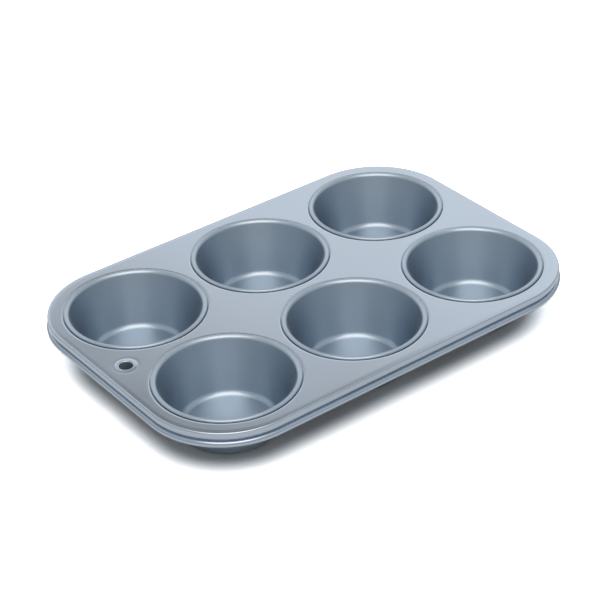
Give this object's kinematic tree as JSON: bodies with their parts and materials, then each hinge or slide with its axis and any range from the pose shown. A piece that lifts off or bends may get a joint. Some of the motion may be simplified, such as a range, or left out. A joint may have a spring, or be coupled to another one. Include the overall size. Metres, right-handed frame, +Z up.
{
  "type": "muffin pan",
  "caption": "Muffin pan: tapered round cups with curled lips crimped into a flat deck that has rounded corners, a rolled wired rim and a hanging hole.",
  "frame": {"origin": "centre of the footprint, at the height of the cups' undersides, which stand on the table", "axes": "+X along the pan's long side, away from the end with the hanging hole; +Y across the pan; +Z up out of the cups"},
  "size_m": [0.2594, 0.1778, 0.0306],
  "materials": {
    "deck_coating": "satin metallic non-stick coating, blue-grey",
    "cup_coating": "satin metallic non-stick coating, blue-grey, slightly glossier than the deck",
    "wire_steel": "plain drawn wire, out of sight"
  },
  "bodies": {
    "root": {"deck": "deck_coating", "rim_wire": "wire_steel", "cup_left_front": "cup_coating", "cup_middle_front": "cup_coating", "cup_right_front": "cup_coating", "cup_left_back": "cup_coating", "cup_middle_back": "cup_coating", "cup_right_back": "cup_coating"}
  },
  "joints": []
}
